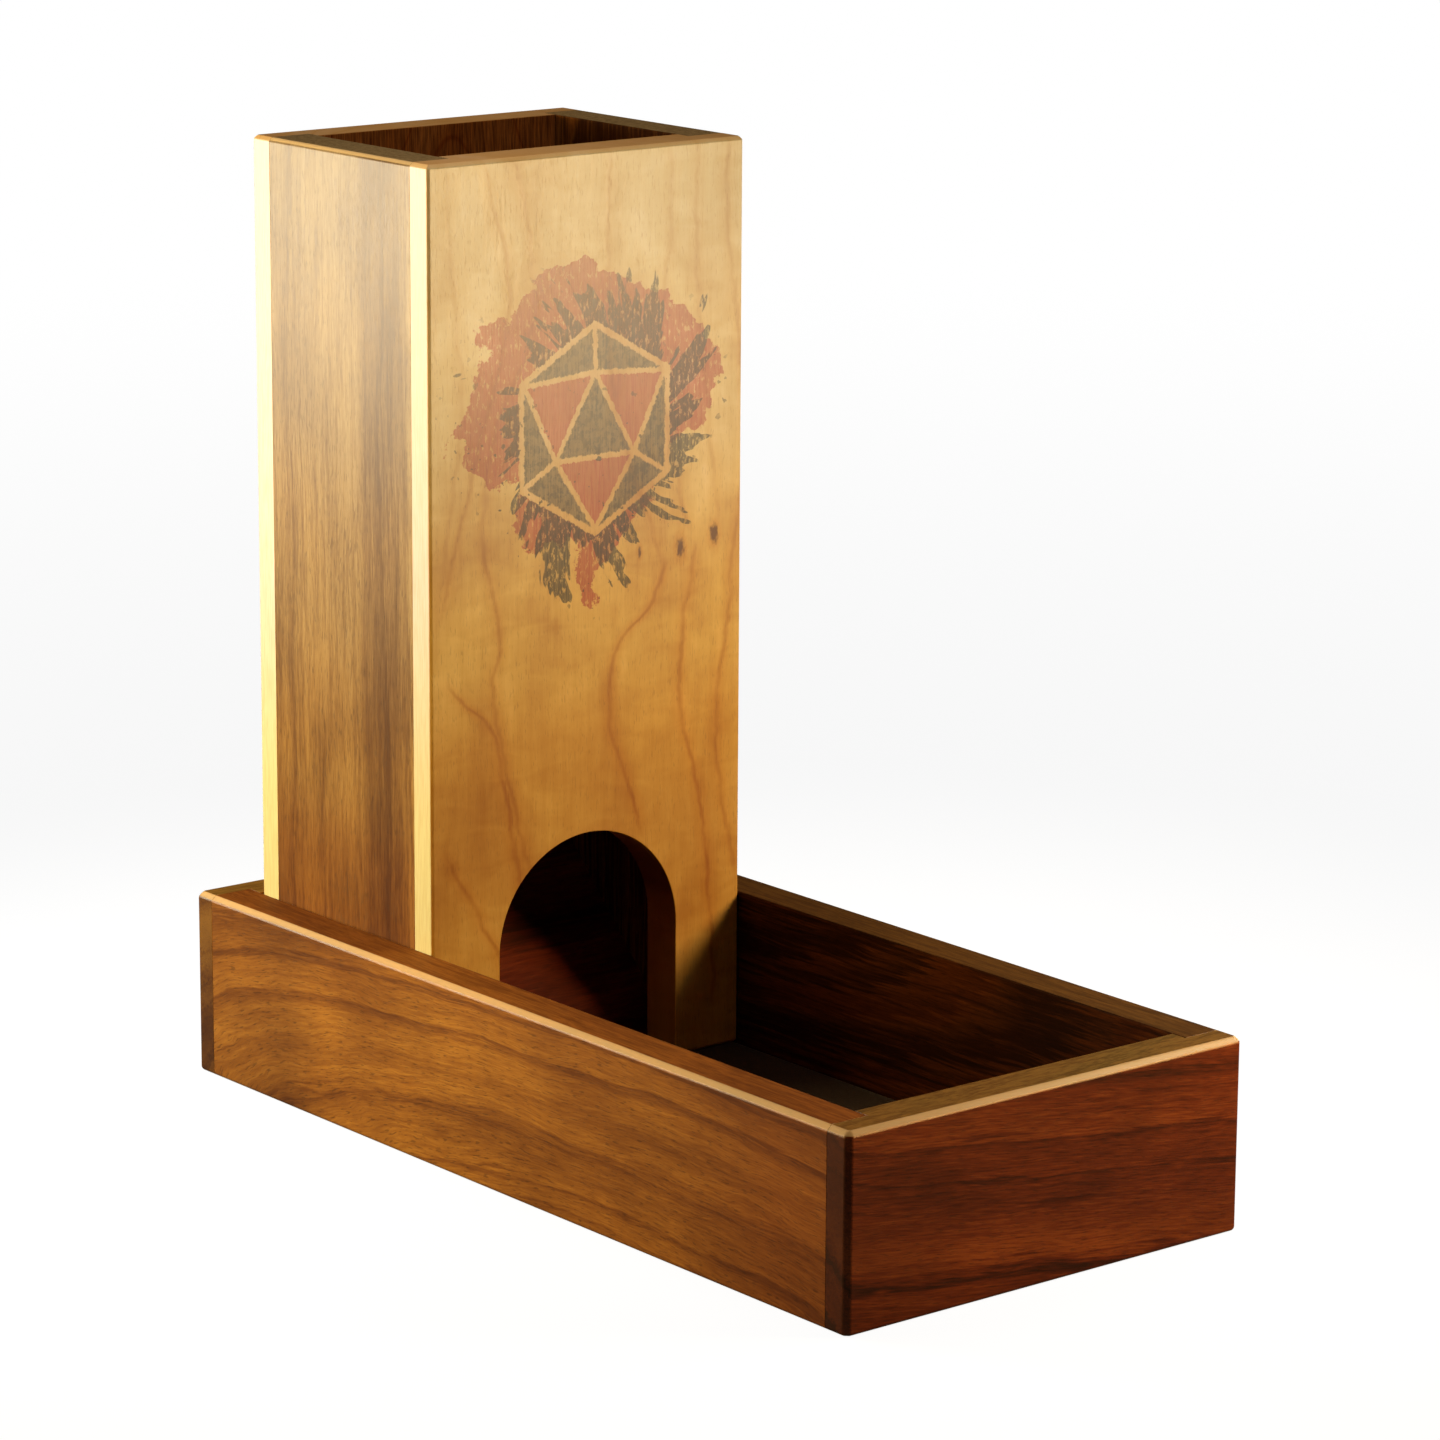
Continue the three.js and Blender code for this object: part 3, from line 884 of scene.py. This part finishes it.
EMBER_WALNUT = tones(
    (0.030, 0.004, 0.001), (0.075, 0.009, 0.002), (0.13, 0.016, 0.004), (0.22, 0.035, 0.008))
DEEP_WALNUT = tones(
    (0.018, 0.006, 0.002), (0.046, 0.014, 0.004), (0.080, 0.026, 0.007), (0.15, 0.055, 0.016))
PALE_MAPLE = [(0.0, (0.46, 0.25, 0.055)), (0.35, (0.57, 0.36, 0.105)), (0.65, (0.65, 0.45, 0.155)),
              (1.0, (0.76, 0.57, 0.25))]

# The tower's upper edges: partly wear, partly a painted sheen.
TOWER_RIM = (0.25, 0.20, 0.11)
LEFT_WALL_FADE = [(-120, (0.90, 0.64, 0.50)), (-60, (1.15, 1.02, 0.76)), (40, (1.25, 1.20, 0.90)),
                  (72, (1.15, 1.08, 0.82)), (98, (0.76, 0.68, 0.56)), (125, (0.95, 0.87, 0.68))]
# Painted light up the tower's left side: painted shade, darker and redder, towards the bottom, and a
# paler, bluer painted sheen towards the top.
LEFT_TOWER_PAINTED_LIGHT_FADE = [(-105, (0.66, 0.33, 0.08)), (-70, (0.74, 0.48, 0.20)), (-40, (0.92, 0.79, 0.52)),
                   (10, (0.96, 1.0, 1.05)), (70, (0.82, 0.92, 1.20)), (115, (0.68, 0.80, 1.15))]
# Painted light up the maple panels: more orange and darker towards the bottom, paler and bluer towards
# the top, as a painted sheen.
MAPLE_PAINTED_LIGHT_FADE = [(-64, (0.93, 0.74, 0.40)), (-34, (0.92, 0.72, 0.33)), (0, (1.04, 0.99, 0.67)),
              (66, (0.91, 1.11, 1.72)), (115, (0.71, 0.94, 1.82))]

WALNUT_BOARDS = [
    Board("tray_left_side", "yzx", GOLDEN_WALNUT, 1.0, (-46, 12), 6.0, dip=(-50, 9), lines=0.30,
          grain=0.75, bands=1.1, fade=LEFT_WALL_FADE, cloud=0.8, flow=True,
          rim=(0.168, 0.058, 0.013), rounding=0.45),
    Board("tray_right_side", "yzx", BROWN_WALNUT, 4.0, (30, 40), 7.0, dip=(70, 6), lines=0.35,
          bands=1.1, cloud=0.5, inside=(-1, (0.22, 0.165, 0.13)), rim=(0.064, 0.034, 0.0075),
          rounding=0.45),
    Board("tray_front_end", "xzy", RED_WALNUT, 7.0, (-60, 34), 8.0, slope=-0.14, bend=12.0,
          rounding=0.45),
    Board("tray_back_end", "xzy", GOLDEN_WALNUT, 11.0, (-40, -14), 8.0, dip=(-10, 30), rounding=0.45),
    Board("tray_floor", "yxz", DEEP_WALNUT, 15.0, (10, 30), 10.0, dip=(-60, 10), rounding=0.30),
    Board("tower_left_side", "zyx", GREY_WALNUT, 26.1, (90, 60), 6.0, bend=9.0, lines=0.35, grain=1.2,
          bands=1.5, fade=LEFT_TOWER_PAINTED_LIGHT_FADE, cloud=0.6, flecks=0.55, inside=(1, (0.30, 0.14, 0.08)),
          rim=TOWER_RIM),
    Board("tower_right_side", "zyx", GREY_WALNUT, 24.0, (-6, -30), 7.0, dip=(-120, 5), lines=0.4,
          bands=1.5, cloud=0.4, inside=(-1, (0.45, 0.30, 0.17)), rim=TOWER_RIM),
    Board("upper_baffle", "xyz", DARK_WALNUT, 31.0, (30, 40), 9.0, sloping=True, rounding=0.60),
    Board("lower_baffle", "xyz", DARK_WALNUT, 34.0, (-30, 40), 9.0, sloping=True, rounding=0.60),
    Board("exit_ramp", "xyz", EMBER_WALNUT, 37.0, (20, 60), 9.0, sloping=True, rounding=0.50),
]
FRONT = Board("tower_front_panel", "zxy", PALE_MAPLE, 41.0, (0, 60), 12.0, fade=MAPLE_PAINTED_LIGHT_FADE,
              inside=(1, (0.50, 0.22, 0.10)))
BACK = Board("tower_back_panel", "zxy", PALE_MAPLE, 45.0, (9, -34), 7.0, dip=(-150, 4.5), bend=16.0,
             fade=MAPLE_PAINTED_LIGHT_FADE, inside=(-1, (0.62, 0.28, 0.10)))

for board in WALNUT_BOARDS:
    wooden_piece(board, walnut(board))
wooden_piece(FRONT, front_maple(FRONT))
wooden_piece(BACK, maple(BACK))


# ------------------------ felt liner

FELT_CELL = 3.0 * MM
FELT_ROUNDING = 0.8 * MM
FELT_UNEVEN = 0.22 * MM
# The upright edge stops this share of the rounding above the underside, where it turns in.
FELT_TURN_IN = 0.6
# The sizes of the broad and small lumps of the top, and of the ragged bits of the edge.
BROAD_LUMP = 11 * MM
SMALL_LUMP = 4 * MM
RAGGED_BIT = 5 * MM


def felt():
    """Dark brown wool: a fine fuzz with soft clouds, and a little sheen."""
    graph = Graph("felt")
    x, y, z = graph.position()
    wool = graph.noise_over(x, y, (1.3, 1.3), z, 4.0, 0.7)
    cloud = graph.noise_over(x, y, (0.05, 0.05), z, 3.0, 0.6)
    tone = graph.add(graph.multiply(wool, 0.7), graph.multiply(cloud, 0.3))
    colour = graph.ramp(tone, [(0.3, (0.006, 0.0024, 0.0016)), (0.7, (0.026, 0.010, 0.006))])
    return graph.finish(
        colour, 0.95, wool, 0.25 * MM, Sheen_Weight=0.12, Sheen_Roughness=0.5, Specular_IOR_Level=0.1
    )


def felt_top(low, high, half_x, half_y):
    """A fine grid, uneven, just below the top of the solid and smaller than it by the rounding."""
    middle = (low + high) / 2
    shape = bmesh.new()
    columns, rows = round(2 * half_x / FELT_CELL), round(2 * half_y / FELT_CELL)
    bmesh.ops.create_grid(shape, x_segments=columns, y_segments=rows, size=1.0)
    for vertex in shape.verts:
        x, y = vertex.co.x * half_x, vertex.co.y * half_y
        lumps = noise.noise(Vector((x, y, 0.0)) / BROAD_LUMP)
        lumps += 0.5 * noise.noise(Vector((x, y, 9.0)) / SMALL_LUMP)
        vertex.co = Vector((middle.x + x, middle.y + y, high.z - FELT_UNEVEN * (0.5 + 0.33 * lumps)))
    return shape


def open_edge(shape):
    return [edge for edge in shape.edges if edge.is_boundary]


def extruded_edge(shape):
    """Adds a strip of faces along the sheet's open edge, and gives the strip's new points."""
    added = bmesh.ops.extrude_edge_only(shape, edges=open_edge(shape))["geom"]
    return [item for item in added if isinstance(item, bmesh.types.BMVert)]


def rolled_out(offset, half, reach):
    """An edge point pushed outwards by reach. A point that isn't at this edge stays."""
    if abs(offset) < half - MM / 2:
        return offset
    return math.copysign(half + reach, offset)


def roll_over(shape, low, high, half_x, half_y):
    """Rolls the open edge outwards and down in three steps, then takes it straight down."""
    middle = (low + high) / 2
    quarter = math.pi / 2
    turns = [quarter / 3, 2 * quarter / 3, quarter, quarter]
    drops = [1 - math.cos(turn) for turn in turns]
    drops[-1] = (high.z - low.z) / FELT_ROUNDING - FELT_TURN_IN
    for turn, drop in zip(turns, drops):
        for vertex in extruded_edge(shape):
            offset = vertex.co - middle
            ragged = 0.75 + 0.25 * noise.noise(offset / RAGGED_BIT)
            reach = FELT_ROUNDING * math.sin(turn) * ragged
            vertex.co.x = middle.x + rolled_out(offset.x, half_x, reach)
            vertex.co.y = middle.y + rolled_out(offset.y, half_y, reach)
            vertex.co.z = high.z - FELT_UNEVEN / 2 - drop * FELT_ROUNDING


def close_underside(shape, low, high, half_x, half_y):
    """Turns the open edge in to the underside, and closes that with one flat face."""
    middle = (low + high) / 2
    for vertex in extruded_edge(shape):
        offset = vertex.co - middle
        vertex.co.x = middle.x + math.copysign(min(abs(offset.x), half_x), offset.x)
        vertex.co.y = middle.y + math.copysign(min(abs(offset.y), half_y), offset.y)
        vertex.co.z = low.z
    bmesh.ops.contextual_create(shape, geom=open_edge(shape))


def felt_sheet(node, name):
    """A soft sheet in the space of its CAD solid: an uneven top that rolls over into ragged edges."""
    low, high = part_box(node)
    half_x, half_y = ((high - low) / 2 - Vector((FELT_ROUNDING,) * 3))[:2]
    shape = felt_top(low, high, half_x, half_y)
    roll_over(shape, low, high, half_x, half_y)
    close_underside(shape, low, high, half_x, half_y)
    bmesh.ops.recalc_face_normals(shape, faces=shape.faces)
    for face in shape.faces:
        face.smooth = face.normal.z > -0.9
    mesh = bpy.data.meshes.new(name)
    shape.to_mesh(mesh)
    shape.free()
    return add_object(name, mesh)


stand_in(felt_sheet("tray_liner", "tray_liner_felt"), "tray_liner", felt())


# ------------------------ stage, light and camera

# The camera's direction from its aim. Azimuth 0 is the front, and the lens is in millimetres.
CAMERA_AZIMUTH = math.radians(-39.24)
CAMERA_ELEVATION = math.radians(13.05)
CAMERA_ROLL = math.radians(0.39)
CAMERA_DISTANCE = 1.2196
CAMERA_AIM = Vector((-0.09988, -0.13865, 0.16252))
CAMERA_LENS = 134.2
CAMERA_SHIFT = (-0.0117, -0.0181)

FLOOR_SIZE = 6.0
FLOOR_GAP = 0.2 * MM
FLOOR_GLOW_NEAR = (0.93, 0.93, 0.93)
FLOOR_BOUNCE = (0.12, 0.15, 0.22)
BLACK = (0.0, 0.0, 0.0)
# The weak light that comes from all round.
WORLD_FILL = (1.0, 0.72, 0.42)
WORLD_FILL_STRENGTH = 0.03

TOP_AIM = (-0.02, 0.07, 0.24)
MIDDLE_AIM = (0.0, 0.046, 0.15)
LOW_AIM = (-0.03, 0.0, 0.08)
LAMPS = [
    # name, aim, azimuth, elevation, distance, width, and its power in red, green and blue
    ("front_right", TOP_AIM, 31, -5, 0.5, 0.12, (1.74, 1.09, 0.41)),
    ("front_right_near", TOP_AIM, 38, -10, 0.35, 0.12, (0.20, 0.22, 0.21)),
    ("left_top", (-0.02, 0.07, 0.21), -115, 5, 0.3, 0.12, (0.95, 0.62, 0.24)),
    ("left_rear", (-0.02, 0.07, 0.20), -140, 0, 0.5, 0.20, (1.40, 1.42, 1.25)),
    ("left_low", LOW_AIM, -105, 8, 0.5, 0.20, (0.86, 0.50, 0.15)),
    ("rear_high", LOW_AIM, -163, 38, 0.8, 0.30, (0.59, 0.34, 0.10)),
    ("rear_right", MIDDLE_AIM, 150, 40, 0.6, 0.30, (0.47, 0.29, 0.12)),
    ("above", (0.0, 0.0, 0.15), 180, 80, 0.75, 0.35, (0.50, 0.46, 0.40)),
    ("mouth", (0.0, 0.11, 0.245), -25, 40, 0.16, 0.06, (0.050, 0.038, 0.026)),
    ("right_fill", MIDDLE_AIM, 98, 3, 0.7, 0.35, (1.5, 1.15, 0.75)),
]


def direction(azimuth, elevation):
    """A unit vector that points from the object towards a light or a camera. Azimuth 0 is the front."""
    return Vector((
        math.sin(azimuth) * math.cos(elevation),
        -math.cos(azimuth) * math.cos(elevation),
        math.sin(elevation),
    ))


def add_camera():
    data = bpy.data.cameras.new("camera")
    data.lens = CAMERA_LENS
    data.shift_x, data.shift_y = CAMERA_SHIFT
    data.clip_start = 0.05
    camera = add_object("camera", data)
    back = direction(CAMERA_AZIMUTH, CAMERA_ELEVATION)
    camera.location = CAMERA_AIM + back * CAMERA_DISTANCE
    turn = (-back).to_track_quat("-Z", "Y").to_matrix().to_4x4()
    camera.rotation_euler = (turn @ Matrix.Rotation(CAMERA_ROLL, 4, "Z")).to_euler()
    bpy.context.scene.camera = camera


def add_lamp(name, aim, azimuth, elevation, distance, width, power):
    """A round soft lamp that faces the aim. power is in watts of red, green and blue."""
    data = bpy.data.lights.new(name, "AREA")
    data.shape = "DISK"
    data.size = width
    data.energy = max(power)
    data.color = [part / max(power) for part in power]
    lamp = add_object(name, data)
    towards = direction(math.radians(azimuth), math.radians(elevation))
    lamp.location = Vector(aim) + towards * distance
    lamp.rotation_euler = (-towards).to_track_quat("-Z", "Y").to_euler()


def floor_material():
    """White far out. It gives little light back to the object, and only from close by."""
    graph = Graph("floor")
    x, y, _z = graph.parts(graph.node("ShaderNodeTexCoord").outputs["Object"])
    radius = graph.length(x, y)
    glow_colour = graph.mix(graph.step(radius, 0.25, 1.6), FLOOR_GLOW_NEAR, WHITE)
    bounce_colour = graph.mix(graph.step(radius, 0.18, 0.45), FLOOR_BOUNCE, BLACK)
    glow = graph.filled(graph.node("ShaderNodeEmission"), Color=glow_colour)
    bounce = graph.filled(graph.node("ShaderNodeBsdfDiffuse"), Color=bounce_colour)
    seen = graph.filled(graph.node("ShaderNodeAddShader"), glow, bounce)
    to_camera = graph.node("ShaderNodeLightPath").outputs["Is Camera Ray"]
    return graph.shown(graph.filled(graph.node("ShaderNodeMixShader"), to_camera, bounce, seen))


def add_floor():
    signs = ((-1, -1), (1, -1), (1, 1), (-1, 1))
    corners = [(x * FLOOR_SIZE, y * FLOOR_SIZE, -FLOOR_GAP) for x, y in signs]
    mesh = bpy.data.meshes.new("floor")
    mesh.from_pydata(corners, [], [(0, 1, 2, 3)])
    mesh.materials.append(floor_material())
    add_object("floor", mesh)


def add_world():
    """White to the camera and dim to everything else."""
    world = bpy.data.worlds.new("studio")
    bpy.context.scene.world = world
    world.use_nodes = True
    nodes, links = world.node_tree.nodes, world.node_tree.links
    nodes.clear()
    seen = nodes.new("ShaderNodeBackground")
    seen.inputs["Color"].default_value = (*WHITE, 1.0)
    seen.inputs["Strength"].default_value = 1.0
    fill = nodes.new("ShaderNodeBackground")
    fill.inputs["Color"].default_value = (*WORLD_FILL, 1.0)
    fill.inputs["Strength"].default_value = WORLD_FILL_STRENGTH
    path = nodes.new("ShaderNodeLightPath")
    choose = nodes.new("ShaderNodeMixShader")
    output = nodes.new("ShaderNodeOutputWorld")
    links.new(path.outputs["Is Camera Ray"], choose.inputs[0])
    links.new(fill.outputs[0], choose.inputs[1])
    links.new(seen.outputs[0], choose.inputs[2])
    links.new(choose.outputs[0], output.inputs["Surface"])


add_camera()
add_floor()
add_world()
for lamp in LAMPS:
    add_lamp(*lamp)

bpy.context.scene.view_settings.view_transform = "Standard"
